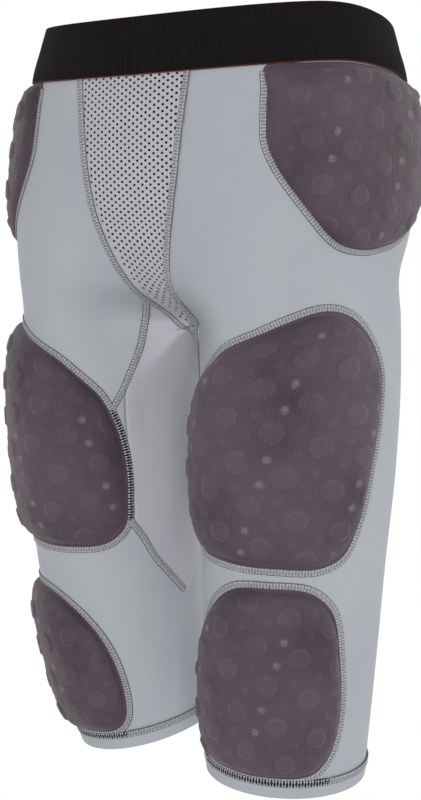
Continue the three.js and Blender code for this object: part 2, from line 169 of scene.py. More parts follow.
def columnPoints(pose, turn):  # the sections' points down the garment at each turn
    turn = np.where(turn > backTurn, turn - 360, turn)
    outside = np.clip((turn - frontTurn) / (backTurn - frontTurn), 0, 1)
    inside = np.clip((turn + 360 - backTurn) / (frontTurn + 360 - backTurn), 0, 1)
    other = poses["right"] if pose is poses["left"] else poses["left"]
    acrossLeg = legPoints(legForm["sections"][0], other, turn)
    isInner = (turn < frontTurn - 1e-6)[:, None]
    *above, groin = (trunkPoints(section, pose["side"], outside) for section in trunkForm["sections"])
    upper = [np.where(isInner, acrossLeg, points) for points in above]
    upper.append(np.where(isInner, crotchPoints(inside), groin))
    lower = [legPoints(section, pose, turn) for section in legForm["sections"]]
    return np.stack(upper + lower, 1)


def curvePoints(a, b, c, d, share):  # points between b and c on a centripetal curve
    before, middle, after = (np.sqrt(np.linalg.norm(q - p, axis=1))[:, None]
                             for p, q in ((a, b), (b, c), (c, d)))
    middle = np.where(middle < 1e-4, 1, middle)
    before = np.where(before < 1e-4, middle, before)
    after = np.where(after < 1e-4, middle, after)
    start = ((b - a) / before - (c - a) / (before + middle) + (c - b) / middle) * middle
    end = ((c - b) / middle - (d - b) / (middle + after) + (d - c) / after) * middle
    return (b + start * share + (3 * (c - b) - 2 * start - end) * share ** 2
            + (2 * (b - c) + start + end) * share ** 3)


def bodyPoints(pose, turn, row):  # a curve through each column's points
    turn, row = np.broadcast_arrays(np.asarray(turn, float), np.asarray(row, float))
    columns = columnPoints(pose, turn)
    last = columns.shape[1] - 1
    row = np.clip(row, 0, last)
    span = np.minimum(np.floor(row).astype(int), last - 1)
    pick = np.arange(len(row))
    b, c = columns[pick, span], columns[pick, span + 1]
    a = np.where((span > 0)[:, None], columns[pick, np.maximum(span - 1, 0)], 2 * b - c)
    d = np.where((span + 2 <= last)[:, None], columns[pick, np.minimum(span + 2, last)], 2 * c - b)
    return curvePoints(a, b, c, d, (row - span)[:, None])


def bodyNormals(pose, turn, row):
    turn, row = np.broadcast_arrays(np.asarray(turn, float), np.asarray(row, float))
    down = bodyPoints(pose, turn, row + 0.04) - bodyPoints(pose, turn, row - 0.04)
    # above the groin, a column at the centre has a neighbour on one side only
    ends = (row < groinRow) & (turn > frontTurn - 0.5)
    after = np.where(ends, np.minimum(turn + 1, backTurn), turn + 1)
    before = np.where(ends, np.maximum(turn - 1, frontTurn), turn - 1)
    around = bodyPoints(pose, after, row) - bodyPoints(pose, before, row)
    return unit(np.cross(down, around) * pose["side"])


def onBody(pose, turn, drop, lift):
    row = rowAt(drop)
    lift = np.broadcast_to(lift, np.shape(turn))[:, None]
    return bodyPoints(pose, turn, row) + bodyNormals(pose, turn, row) * lift


# Hands for the modelling
def deselectAll():
    if bpy.context.object and bpy.context.object.mode != "OBJECT":
        bpy.ops.object.mode_set(mode="OBJECT")
    bpy.ops.object.select_all(action="DESELECT")


def makeActive(piece):
    deselectAll()
    piece.select_set(True)
    bpy.context.view_layer.objects.active = piece


def named(piece, name):
    piece.name = piece.data.name = name
    return piece


def flatGrid(name, columns, rows):  # a flat grid from (0, 0) to (1, 1)
    deselectAll()
    bpy.ops.mesh.primitive_grid_add(x_subdivisions=columns, y_subdivisions=rows, size=1,
                                    location=(0.5, 0.5, 0))
    bpy.ops.object.transform_apply(location=True)
    return named(bpy.context.object, name)


def readValues(items, name, kind=float, wide=1):  # one value, or a few, of every item
    values = np.empty(len(items) * wide, kind)
    items.foreach_get(name, values)
    return values


def getPoints(piece):
    return readValues(piece.data.vertices, "co", wide=3).reshape(-1, 3)


def setPoints(piece, points):
    piece.data.vertices.foreach_set("co", np.ascontiguousarray(points, float).ravel())
    piece.data.update()


def setCoordinates(piece, across, down):  # the UV map, in centimetres along the cloth
    corners = readValues(piece.data.loops, "vertex_index", int)
    uvLayer = piece.data.uv_layers.active or piece.data.uv_layers.new(name="UVMap")
    flat = np.stack([across[corners], down[corners]], -1) / 10
    uvLayer.data.foreach_set("uv", flat.ravel())


def faceMiddles(piece, values):  # the mean of each face's corner values
    corners = readValues(piece.data.loops, "vertex_index", int)
    starts, sizes = (readValues(piece.data.polygons, name, int) for name in ("loop_start", "loop_total"))
    return np.add.reduceat(values[corners], starts) / sizes


def areaOf(piece):  # in square metres
    return float(readValues(piece.data.polygons, "area").sum())


def editFaces(piece, operator, pick=None, **settings):  # edits the picked faces, or all of them
    makeActive(piece)
    bpy.ops.object.mode_set(mode="EDIT")
    bpy.ops.mesh.select_mode(type="FACE")
    bpy.ops.mesh.select_all(action="SELECT" if pick is None else "DESELECT")
    if pick is not None:
        bpy.ops.object.mode_set(mode="OBJECT")
        piece.data.polygons.foreach_set("select", pick)
        bpy.ops.object.mode_set(mode="EDIT")
    operator(**settings)
    bpy.ops.object.mode_set(mode="OBJECT")


def keepFaces(piece, keep):
    editFaces(piece, bpy.ops.mesh.delete, ~keep, type="FACE")


def mergeDoubles(piece, distance):
    editFaces(piece, bpy.ops.mesh.remove_doubles, threshold=distance)


def turnOut(piece):
    editFaces(piece, bpy.ops.mesh.normals_make_consistent, inside=False)


def joinPieces(pieces, name):
    makeActive(pieces[0])
    for piece in pieces:
        piece.select_set(True)
    bpy.ops.object.join()
    return named(bpy.context.object, name)


def applied(piece, kind, **settings):
    makeActive(piece)
    modifier = piece.modifiers.new(kind.title(), kind)
    for key, value in settings.items():
        setattr(modifier, key, value)
    bpy.ops.object.modifier_apply(modifier=modifier.name)


def thickened(piece, thickness, **settings):  # inwards, by millimetres
    applied(piece, "SOLIDIFY", thickness=thickness * millimetre, offset=-1, **settings)


def finishPiece(piece, material, nodes=(), sharpAngle=None):
    piece.data.materials.clear()
    piece.data.materials.append(material)
    makeActive(piece)
    if sharpAngle is None:
        bpy.ops.object.shade_smooth()
    else:
        bpy.ops.object.shade_smooth_by_angle(angle=math.radians(sharpAngle))
    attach(piece, "root")
    if nodes:
        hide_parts(*nodes)


# Materials
def newMaterial(name):
    material = bpy.data.materials.new(name)
    material.use_nodes = True
    return material, material.node_tree, material.node_tree.nodes["Principled BSDF"]


def addNode(tree, kind, sockets, **settings):  # a socket takes a value or another node's output
    node = tree.nodes.new(kind)
    for key, value in settings.items():
        setattr(node, key, value)
    setSockets(tree, node, sockets)
    return node


def setSockets(tree, node, sockets):
    for key, value in sockets.items():
        if isinstance(value, bpy.types.NodeSocket):
            tree.links.new(value, node.inputs[key])
        else:
            node.inputs[key].default_value = value


def noise(tree, vector, scale, detail, roughness):
    sockets = {"Vector": vector, "Scale": scale, "Detail": detail, "Roughness": roughness}
    return addNode(tree, "ShaderNodeTexNoise", sockets).outputs["Fac"]


def multiplyAdd(tree, value, factor, rest):
    sockets = {0: value, 1: factor, 2: rest}
    return addNode(tree, "ShaderNodeMath", sockets, operation="MULTIPLY_ADD").outputs[0]


def spreadOut(tree, value, low, high):  # from low and high to 0 and 1
    sockets = {"Value": value, "From Min": low, "From Max": high}
    return addNode(tree, "ShaderNodeMapRange", sockets).outputs["Result"]


def toneMix(tree, share, first, second):
    sockets = {"Factor": share, "A": first, "B": second}
    return addNode(tree, "ShaderNodeMix", sockets, data_type="RGBA").outputs["Result"]


def knitMaterial(name, look):
    look = {**smoothKnit, **look}
    material, tree, shader = newMaterial(name)
    place = addNode(tree, "ShaderNodeTexCoord", {}).outputs
    bands = {"Vector": place["UV"], "Distortion": look["wobble"]}
    wales = addNode(tree, "ShaderNodeTexWave", {**bands, "Scale": look["wales"], "Detail": 1,
                                                "Detail Scale": 1.5}, bands_direction="X")
    courses = addNode(tree, "ShaderNodeTexWave", {**bands, "Scale": look["courses"]},
                      bands_direction=look["lie"])
    weave = multiplyAdd(tree, courses.outputs["Fac"], look["courseShare"], wales.outputs["Fac"])
    fuzz = noise(tree, place["Object"], look["fuzzScale"], 6, 0.6)
    cloud = noise(tree, place["Object"], look["cloudScale"], 3, 0.5)
    patches = spreadOut(tree, cloud, 0.5 - look["patchRange"], 0.5 + look["patchRange"])
    share = multiplyAdd(tree, weave, look["weaveTone"], patches)
    colour = toneMix(tree, share, (*look["dark"], 1), (*look["light"], 1))
    if "studHighlight" in look:  # painted highlight: the studs' rims and the dots are lightened in specks where light catches them
        studs = addNode(tree, "ShaderNodeAttribute", {}, attribute_name="studHighlight").outputs["Fac"]
        glint = multiplyAdd(tree, studs, spreadOut(tree, fuzz, 0.35, 0.75), 0)
        colour = toneMix(tree, glint, colour, (*look["studHighlight"], 1))
    height = multiplyAdd(tree, fuzz, look["fuzzShare"], weave)
    bump = addNode(tree, "ShaderNodeBump", {"Height": height, "Strength": look["bump"],
                                            "Distance": look["bumpDepth"]})
    setSockets(tree, shader, {"Base Color": colour, "Normal": bump.outputs["Normal"],
                              **look["shader"]})
    return material


smoothKnit = {"wales": 3.4, "courses": 4.2, "courseShare": 0.6, "wobble": 0.4, "weaveTone": 0.12,
              "lie": "Y", "patchRange": 0.5, "cloudScale": 9, "fuzzScale": 900, "fuzzShare": 0.5,
              "bump": 0.2, "bumpDepth": 0.0002}
twistedThread = {"wales": 9.0, "courses": 9.0, "courseShare": 0.5, "wobble": 1.5, "weaveTone": 0.15,
                 "cloudScale": 40, "fuzzScale": 1600, "fuzzShare": 0.8, "bump": 0.4}
stitchedBed = {**twistedThread, "wales": 7.0, "courses": 7.0, "wobble": 1.0, "weaveTone": 0.2,
               "fuzzScale": 1500, "bump": 0.5}
greyKnit = knitMaterial("grey_knit", {
    "dark": (0.33, 0.34, 0.375), "light": (0.372, 0.398, 0.42), "patchRange": 0.25,
    "cloudScale": 7, "bump": 0.22,
    "shader": {"Roughness": 0.6, "Sheen Weight": 0.08, "Sheen Roughness": 0.4,
               "Specular IOR Level": 0.2}})
# its own faint mauve-grey tint, made lighter than the body knit to make up for the shade between the
# legs: partly painted light
innerKnit = knitMaterial("inner_knit", {
    "dark": (0.365, 0.366, 0.402), "light": (0.41, 0.41, 0.445), "bump": 0.18,
    "shader": {"Roughness": 0.55, "Sheen Weight": 0.08, "Sheen Roughness": 0.4,
               "Specular IOR Level": 0.2}})
meshKnit = knitMaterial("pierced_mesh", {
    "dark": (0.385, 0.382, 0.412), "light": (0.43, 0.425, 0.455),
    "wales": 2.2, "courses": 2.2, "wobble": 0.3, "weaveTone": 0.15,
    "fuzzScale": 1100, "cloudScale": 12, "bump": 0.3,
    "shader": {"Roughness": 0.75, "Sheen Weight": 0.05, "Specular IOR Level": 0.15}})
# painted shade: a near-black knit for the sheet behind the mesh's holes, where the garment's inside lies
# in shadow
paintedShadeLayer = knitMaterial("painted_shade_layer", {
    "dark": (0.004, 0.004, 0.005), "light": (0.009, 0.008, 0.009), "weaveTone": 0.2,
    "shader": {"Roughness": 0.9, "Specular IOR Level": 0.05}})
# painted highlight: its stud colour lightens the studs' rims and dots in specks, where light catches
# them
padCover = knitMaterial("pad_cover", {
    "dark": (0.017, 0.011, 0.0145), "light": (0.088, 0.064, 0.081), "studHighlight": (0.3, 0.265, 0.295),
    "wales": 2.2, "courses": 2.6, "wobble": 0.6, "weaveTone": 0.42, "lie": "DIAGONAL",
    "patchRange": 0.3, "fuzzScale": 1100, "fuzzShare": 0.9, "cloudScale": 15,
    "bump": 0.6, "bumpDepth": 0.0004,
    "shader": {"Roughness": 0.6, "Sheen Weight": 0.12, "Sheen Roughness": 0.35,
               "Specular IOR Level": 0.22}})
ribbedElastic = knitMaterial("ribbed_elastic", {
    "dark": (0.0015, 0.001, 0.0015), "light": (0.009, 0.007, 0.008),
    "wales": 1.35, "courses": 4.0, "courseShare": 0.12, "wobble": 0.15, "weaveTone": 0.6,
    "fuzzShare": 0.4, "cloudScale": 14, "bump": 0.5, "bumpDepth": 0.0004,
    "shader": {"Roughness": 0.85, "Specular IOR Level": 0.08}})
edgeThread = knitMaterial("edge_thread", {
    **twistedThread, "dark": (0.05, 0.008, 0.010), "light": (0.12, 0.022, 0.026), "bump": 0.3,
    "shader": {"Roughness": 0.7, "Specular IOR Level": 0.1}})
paleThread = knitMaterial("pale_thread", {
    **twistedThread, "dark": (0.46, 0.47, 0.49), "light": (0.58, 0.59, 0.61),
    "shader": {"Roughness": 0.6, "Sheen Weight": 0.05, "Specular IOR Level": 0.2}})
# real needle stitches, coloured near-black as painted shadow along the seam's edges
needleShadeThread = knitMaterial("needle_thread_painted_shade", {
    **twistedThread, "dark": (0.09, 0.088, 0.094), "light": (0.16, 0.156, 0.165),
    "shader": {"Roughness": 0.7, "Specular IOR Level": 0.15}})
# the bed's grey, darker than the cloth, is painted shade for the gaps between the thread bars
seamBed = knitMaterial("seam_bed", {
    **stitchedBed, "dark": (0.16, 0.162, 0.172), "light": (0.24, 0.245, 0.26),
    "shader": {"Roughness": 0.75, "Specular IOR Level": 0.15}})
darkBed = knitMaterial("dark_seam_bed", {
    **stitchedBed, "dark": (0.010, 0.009, 0.010), "light": (0.025, 0.022, 0.025),
    "shader": {"Roughness": 0.8, "Specular IOR Level": 0.1}})
print("materials ready")

# The knitted panels
panelLook = {
    "top": 11.5,
    "columns": 150,
    "innerColumns": 40,
    "rowsAbove": 90,
    "rowsBelow": 160,
    "thickness": 1.5,
    "cut": 0.97,
    "mmPerDegree": 1.38,
}
wrinkleLook = {
    "height": 0.35,
    # strength, waves down, across and bending, then the middle and spread in drop and in turn:
    # below the hip pad, and at the groin
    "places": [(1.0, 0.11, 0.05, 1.3, (215, 45), (75, 40)),
               (0.8, 0.16, -0.13, 0, (205, 30), (-35, 25))],
    "bend": 0.03,
    "fadeIn": (-60, -40),
    "fadeOut": (160, 180),
}
foldLook = {"times": 40, "across": (0.5, 60), "below": (-8, 56), "behind": 10}
meshPanel = {
    "sway": -3,
    "back": 12,
    "top": 11.5,
    "reach": 56,
    "flat": (0.105, 0.22),
    "holePitch": 7.4,
    "rowPitch": 2.4,
    "plainEdge": 2.4,
    # the holes stop further from the seam at the lower right of the wearer: z and added width
    "plainerRight": ((60, 120, 190), (0, 2, 5)),
    "drawnIn": (0.22, -0.12),
    "tuck": 0.8,
    "subRows": 5,
    "thickness": 0.5,
    "lift": -0.1,
    "sharpAngle": 40,
    "tipReach": 8,
    "pointRun": (15, 2, -10),
    # z as a share of the crotch drop, half width as a share of the hips' half width
    "edge": [(-0.05, 0.313), (0.1, 0.304), (0.28, 0.277), (0.44, 0.25), (0.56, 0.22),
             (0.67, 0.181), (0.76, 0.145), (0.865, 0.102), (0.9, 0.088), (0.94, 0.066),
             (0.97, 0.044), (1.03, 0.03)],
}
layerLook = {"step": 2, "rows": 90, "depth": 0.9, "margin": 1, "thickness": 0.4}
innerPanel = {
    "top": trunkForm["crotchDrop"] - 32,
    "length": legForm["length"] * 0.749,
    # share of the length, half width in degrees
    "edge": [(-0.02, 43), (0.1, 42.5), (0.22, 39.5), (0.3, 41), (0.43, 40.5), (0.6, 39.5),
             (0.71, 38), (0.84, 26), (0.92, 14), (0.97, 6), (1.0, 1.5)],
    # above the groin: z and width from the mesh panel's middle, as shares like the mesh panel's
    "point": [(0.82, -0.06), (0.855, 0.09), (0.92, 0.17), (0.965, 0.196), (1.07, 0.195)],
}


def frontWidth(edge, height):  # half width in millimetres at this height
    shares, halves = zip(*edge)
    share = -height / trunkForm["crotchDrop"]
    return np.interp(share, shares, halves, left=-1, right=-1) * trunkForm["halfWidth"]


def meshHalfWidth(height):
    return frontWidth(meshPanel["edge"], height)


def innerHalfWidth(pose, drop):
    shares, halves = zip(*innerPanel["edge"])
    along = (drop - innerPanel["top"]) / innerPanel["length"]
    return np.interp(along, shares, halves, left=-1, right=-1) * pose["innerWidth"]


def wrinkles(points, turn, drop):  # how far the faint drawing of the cloth lifts it
    x, z = points[:, 0], points[:, 2]
    lift = np.zeros(len(points))
    for strength, down, across, bending, dropSpan, turnSpan in wrinkleLook["places"]:
        wave = np.sin(z * down + x * across + bending * np.sin(x * wrinkleLook["bend"]))
        lift += strength * wave * bell(drop, *dropSpan) * bell(turn, *turnSpan)
    fade = smoothStep(turn, *wrinkleLook["fadeIn"]) * (1 - smoothStep(turn, *wrinkleLook["fadeOut"]))
    return lift * wrinkleLook["height"] * fade


def clothSheet(pose, inner):  # one leg's cloth: the outer part, or the part between the legs
    above = 0 if inner else panelLook["rowsAbove"]
    rows = above + panelLook["rowsBelow"]
    sheet = flatGrid("sheet", panelLook["innerColumns" if inner else "columns"], rows)
    flat = getPoints(sheet)
    start, end = (backTurn, frontTurn + 360) if inner else (frontTurn, backTurn)
    turn = start + (end - start) * flat[:, 0]
    marks, drops = [0, rows], [groinDrop, hemTop]
    if above:
        marks, drops = [0, above, rows], [panelLook["top"], groinDrop, hemTop]
    drop = np.interp(flat[:, 1] * rows, marks, drops)
    points = bodyPoints(pose, turn, rowAt(drop))
    points = onBody(pose, turn, drop, wrinkles(points, turn, drop))
    points[(drop <= groinDrop + 0.01) & (inner | atCentre(turn)), 0] = 0
    turnMiddle, dropMiddle, x, y, z = (faceMiddles(sheet, values)
                                       for values in (turn, drop, *points.T))
    wrapped = np.where(turnMiddle > 180, turnMiddle - 360, turnMiddle)
    isInner = np.abs(wrapped + 90) < innerHalfWidth(pose, dropMiddle)
    isInner &= dropMiddle > groinDrop
    inFront, fromMesh = y < -meshPanel["back"], x - meshPanel["sway"]
    point = frontWidth(innerPanel["point"], z) * pose["innerReach"]
    isInner |= inFront & (pose["side"] * fromMesh < point)
    isMesh = inFront & (np.abs(fromMesh) < meshHalfWidth(z))
    isMesh &= dropMiddle < groinDrop + meshPanel["tipReach"]
    setCoordinates(sheet, turn * panelLook["mmPerDegree"], drop)
    setPoints(sheet, points * millimetre)
    for slotMaterial in (greyKnit, innerKnit, meshKnit):
        sheet.data.materials.append(slotMaterial)
    kinds = np.where(isMesh, 2, np.where(isInner, 1, 0))
    sheet.data.polygons.foreach_set("material_index", kinds)
    keepFaces(sheet, ~isMesh | (dropMiddle > groinDrop))
    return sheet


def easeFold(garment):  # smooths out the fold beside the groin
    x, y, z = getPoints(garment).T / millimetre
    below = -trunkForm["crotchDrop"] - z
    (near, far), (top, bottom) = foldLook["across"], foldLook["below"]
    eased = (np.abs(x) > near) & (np.abs(x) < far) & (below > top) & (below < bottom)
    eased &= y < foldLook["behind"]
    fold = garment.vertex_groups.new(name="fold")
    fold.add(np.nonzero(eased)[0].tolist(), 1.0, "REPLACE")
    applied(garment, "SMOOTH", factor=0.5, iterations=foldLook["times"], vertex_group="fold")


clothPoints, clothFaces = [], []


def makeGarment(name):
    pose = poses[name]
    garment = joinPieces([clothSheet(pose, inner) for inner in (False, True)], "garment_" + name)
    mergeDoubles(garment, 0.00002)
    if pose["side"] > 0:
        editFaces(garment, bpy.ops.mesh.flip_normals)
    easeFold(garment)
    start = len(clothPoints)
    clothPoints.extend(Vector(point) for point in getPoints(garment))
    clothFaces.extend([start + v for v in face.vertices] for face in garment.data.polygons)
    editFaces(garment, bpy.ops.mesh.separate, type="MATERIAL")
    found = [piece for piece in bpy.context.selected_objects if piece.type == "MESH"]
    tip, insert, body = sorted(found, key=lambda piece: len(piece.data.polygons))
    body.name = "body_cloth_" + name
    insert.name = "inner_thigh_cloth_" + name
    return body, insert, tip


meshTips = []
for name in poses:
    body, insert, tip = makeGarment(name)
    meshTips.append(tip)
    for piece, material, slot, node, flat in (
            (body, greyKnit, "grey_knit", "body_panel_", (0.42, 0.56)),
            (insert, innerKnit, "inner_knit", "inner_thigh_panel_", (0.12, 0.26))):
        # the area it would be cut at, a little smaller than it is worn, as stretch cloth is; nothing
        # reads it
        area = areaOf(piece) * panelLook["cut"]
        thickened(piece, panelLook["thickness"], use_even_offset=False)
        finishPiece(piece, material, [node + name])
    print("panels", name, round(areaOf(body), 3))


def turnAtX(side, drop, across):  # the turn at which the trunk's section reaches this x
    pose = poses[side]
    # halves the stretch from the front centre to the hip again and again
    low, high = np.full(len(across), float(frontTurn)), np.full(len(across), 75.0)
    row = rowAt(drop)
    for _ in range(26):
        middle = (low + high) / 2
        reach = bodyPoints(pose, middle, row)[:, 0] * pose["side"]
        further = reach < across * pose["side"]
        low, high = np.where(further, middle, low), np.where(further, high, middle)
    return (low + high) / 2


def onFront(across, drop, lift):  # a point of the front by its x and drop
    points = np.empty((len(across), 3))
    for side, pick in (("left", across >= 0), ("right", across < 0)):
        if pick.any():
            turn = turnAtX(side, drop[pick], across[pick])
            points[pick] = onBody(poses[side], turn, drop[pick], lift)
            points[pick, 0] = across[pick]
    return points


def frontSheet(name, step, rows):  # a fine grid on the front, wider than the mesh panel
    wide = 2 * int(meshPanel["reach"] / step)
    sheet = flatGrid(name, wide, rows)
    flat = getPoints(sheet)
    column, row = np.rint(flat[:, 0] * wide), np.rint(flat[:, 1] * rows)
    across = meshPanel["sway"] + (column - wide / 2) * step
    drop = meshPanel["top"] + row * (groinDrop - meshPanel["top"]) / rows
    return sheet, column, row, across, drop


def laidOnFront(sheet, across, drop, lift):  # how far each face is from the panel's middle, and z
    points = onFront(across, drop, lift)
    setCoordinates(sheet, across, drop)
    setPoints(sheet, points * millimetre)
    x, z = faceMiddles(sheet, points[:, 0]), faceMiddles(sheet, points[:, 2])
    return x - meshPanel["sway"], z


def turnFront(sheet):  # turns every face of a front sheet towards -Y
    normals = readValues(sheet.data.polygons, "normal", wide=3).reshape(-1, 3)
    editFaces(sheet, bpy.ops.mesh.flip_normals, normals[:, 1] > 0)


def makeMeshPanel():
    pitch, subRows = meshPanel["holePitch"], meshPanel["subRows"]
    tall = int((groinDrop - meshPanel["top"]) / meshPanel["rowPitch"]) * subRows
    sheet, column, row, across, drop = frontSheet("mesh_cloth", pitch / 4, tall)
    # a hole is one cell wide, and all but one of its band's rows tall; every second band is shifted
    band, inRow = np.floor(row / subRows), row % subRows
    inColumn = (column + 2 * (band % 2)) % 4
    drawnIn = np.where((inRow == 0) | (inRow == subRows - 1), *meshPanel["drawnIn"])
    side = np.where(inColumn == 0, 1, -1)
    across = across + np.where(inColumn <= 1, side * pitch / 4 * drawnIn, 0)
    fromMiddle, z = laidOnFront(sheet, across, drop, meshPanel["lift"])
    faceColumn, faceRow = (np.floor(faceMiddles(sheet, values)) for values in (column, row))
    isHole = faceRow % subRows != subRows - 1
    isHole &= (faceColumn + 2 * (np.floor(faceRow / subRows) % 2)) % 4 == 0
    plain = meshPanel["plainEdge"] + np.interp(-z, *meshPanel["plainerRight"]) * (fromMiddle < 0)
    isHole &= np.abs(fromMiddle) < meshHalfWidth(z) - plain
    keepFaces(sheet, (np.abs(fromMiddle) < meshHalfWidth(z) + meshPanel["tuck"]) & ~isHole)
    sheet = joinPieces([sheet] + meshTips, "mesh_cloth")
    turnFront(sheet)
    area, flat = areaOf(sheet), meshPanel["flat"]
    thickened(sheet, meshPanel["thickness"])
    finishPiece(sheet, meshKnit, ["mesh_front_panel"], meshPanel["sharpAngle"])


def makePaintedShadeLayer():  # a near-black sheet behind the holes: painted shade, standing for the garment's shadowed inside seen through them
    layer, column, row, across, drop = frontSheet("mesh_painted_shade_layer", layerLook["step"],
                                                  layerLook["rows"])
    fromMiddle, z = laidOnFront(layer, across, drop, -layerLook["depth"])
    keepFaces(layer, np.abs(fromMiddle) < meshHalfWidth(z) - layerLook["margin"])
    turnFront(layer)
    area, flat = areaOf(layer), meshPanel["flat"]
    thickened(layer, layerLook["thickness"])
    finishPiece(layer, paintedShadeLayer)


makeMeshPanel()
makePaintedShadeLayer()
print("mesh front panel")

# Waistband and hems
waistLook = {
    "columns": 440, "rows": 16, "floor": 0.9, "thickness": 2.0, "mmPerDegree": 1.35,
    # a soft fold, strongest at the wearer's right side: turn, share on the left, then lifts
    "fold": (100, 45), "leftShare": 0.25, "valley": (-1.3, (-2, 6)), "ridge": (0.5, (9, 5)),
    # the elastic is drawn in along its lower edge
    "drawnIn": (-0.5, (waistHalf, 2.5)),
}
edgeLook = {"rows": 2, "start": waistHalf - 0.1, "width": 0.9, "lift": 2.5, "thickness": 1.0}
hemLook = {
    "columns": 170, "rows": 6, "floor": 0.9, "gap": 0.3, "thickness": 2.4, "mmPerDegree": 1.2,
    # the hem is drawn in at its lower edge and, less so, at the upper one: lift, share, spread
    "drawnIn": [(0.5, 1, 0.25), (0.3, 0, 0.2)],
}


def closedBand(name, look, place):
    band = flatGrid(name, look["columns"], look["rows"])
    points, across, down = place(getPoints(band))
    setCoordinates(band, across, down)
    setPoints(band, points * millimetre)
    mergeDoubles(band, 0.00005)
    turnOut(band)
    thickened(band, look["thickness"])
    applied(band, "BEVEL", width=look["thickness"] * 0.3 * millimetre, segments=2,
            limit_method="ANGLE", angle_limit=math.radians(50))
    return band


def roundWaist(share):  # round the waist from the front: down the left side, back up the right
    onLeft = share <= 0.5
    return onLeft, frontTurn + (backTurn - frontTurn) * np.where(onLeft, share * 2, 2 - share * 2)


def onWaist(onLeft, turn, drop, lift):
    left, right = (onBody(poses[name], turn, drop, lift) for name in ("left", "right"))
    points = np.where(onLeft[:, None], left, right)
    points[atCentre(turn), 0] = 0
    around = np.where(onLeft, turn, 2 * backTurn - turn)
    return points, around * waistLook["mmPerDegree"], drop


def placeWaist(flat):
    onLeft, turn = roundWaist(flat[:, 0])
    drop = waistHalf * (2 * flat[:, 1] - 1)
    fold = bell(turn, *waistLook["fold"]) * np.where(onLeft, waistLook["leftShare"], 1)
    (valley, valleyDrops), (ridge, ridgeDrops) = waistLook["valley"], waistLook["ridge"]
    drawnIn, edgeDrops = waistLook["drawnIn"]
    lift = waistLook["floor"] + waistLook["thickness"] + drawnIn * bell(drop, *edgeDrops)
    lift += fold * (valley * bell(drop, *valleyDrops) + ridge * bell(drop, *ridgeDrops))
    return onWaist(onLeft, turn, drop, lift)


def placeWaistEdge(flat):  # the thread along the waistband's lower edge
    onLeft, turn = roundWaist(flat[:, 0])
    return onWaist(onLeft, turn, edgeLook["start"] + edgeLook["width"] * flat[:, 1],
                   edgeLook["lift"])


def placeHem(name):
    def place(flat):
        turn = frontTurn + 360 * flat[:, 0]
        top = hemTop + hemLook["gap"]
        drop = top + (hemDrop - top) * flat[:, 1]
        lift = hemLook["floor"] - sum(depth * bell(flat[:, 1], share, spread)
                                      for depth, share, spread in hemLook["drawnIn"])
        return onBody(poses[name], turn, drop, lift), turn * hemLook["mmPerDegree"], drop
    return place


waistband = closedBand("waistband_elastic", waistLook, placeWaist)
finishPiece(waistband, ribbedElastic, ["waistband"])
waistEdge = closedBand("waistband_edge_thread", {**waistLook, **edgeLook}, placeWaistEdge)
finishPiece(waistEdge, edgeThread)
for name in poses:
    hem = closedBand("hem_" + name, hemLook, placeHem(name))
    finishPiece(hem, greyKnit, ["leg_hem_" + name])
print("waistband and hems")

# Pads. Outlines are shares of half the wrap and half the height, across and up.
padLook = {
    "cover": 1.0,
    "gap": 0.3,
    "dome": 5,
    "shoulder": 0.965,
    "spread": 1.35,
    "grid": 140,
    "tuck": (0.6, 0.985),
    # the hip pads' covers run up under the waistband
    "hipTop": (0.75, 0.95),
    "hipTopInset": -0.008,
    "studPitch": 31.5,
    "studTilt": 14,
    "studFade": (0.86, 0.94),
    # each cell of the studs' lattice: place in it, radius, height, whether it is a small dot
    "bumps": [(0, 0, 7.6, 1.5, False), (0.4, 0.28, 3.0, 0.5, True), (0.75, 0.6, 3.0, 0.5, True)],
    # from the radius: where a bump and a dot's painted highlight end, and the rim's place and spread
    "bumpEdge": (-1.1, 0.9),
    "glintEdge": (-1.0, 0.3),
    "rim": (-0.6, 0.8),
    # how strongly painted highlight lightens each
    "highlightTones": {"stud": 0.1, "rim": 0.26, "dot": 0.12, "brightGlint": 0.85},
    "mmPerDegree": 1.36,
}
pads = {
    "hip": {"thickness": 10.5, "height": 132.09, "wrap": 138, "turn": 71, "drop": 88.35,
            "studs": (44, 53), "band": 0, "inset": 1.4, "outline": [
                (-0.94, 1), (-0.98, 0.72), (-1, 0.45), (-1, 0.2), (-0.91, -0.08), (-0.7, -0.45),
                (-0.45, -0.8), (-0.25, -0.95), (0.06, -1), (0.35, -0.9), (0.65, -0.6),
                (0.9, -0.18), (1, 0.24), (1, 0.69), (0.96, 1), (0.6, 1), (0, 1), (-0.6, 1)]},
    "thigh": {"thickness": 13, "height": 195.97, "wrap": 139, "turn": 17.5, "drop": 291.08,
              "studs": (22.5, 284), "band": -1.2, "inset": 3.4, "outline": [
                  (0.4, 1), (0.04, 0.94), (-0.42, 0.75), (-0.61, 0.57), (-0.8, 0.37),
                  (-0.92, 0.14), (-0.98, -0.12), (-1, -0.51), (-0.96, -0.81), (-0.77, -0.96),
                  (-0.37, -1), (0.09, -1), (0.47, -0.99), (0.68, -0.9), (0.83, -0.62),
                  (0.91, -0.28), (0.99, 0.18), (1, 0.5), (0.88, 0.75), (0.67, 0.93)]},
    "knee": {"thickness": 12, "height": 153.9, "wrap": 120, "turn": 11.5, "drop": 474.25,
             "studs": (20.4, 471), "band": -1.2, "inset": 3.4, "outline": [
                 (0.14, 1), (-0.26, 0.95), (-0.61, 0.71), (-0.89, 0.25), (-1, -0.34),
                 (-0.94, -0.8), (-0.76, -0.97), (-0.34, -1), (0.18, -1), (0.66, -0.96),
                 (0.89, -0.75), (0.99, -0.34), (0.94, 0.23), (0.81, 0.75), (0.54, 0.97)]},
}


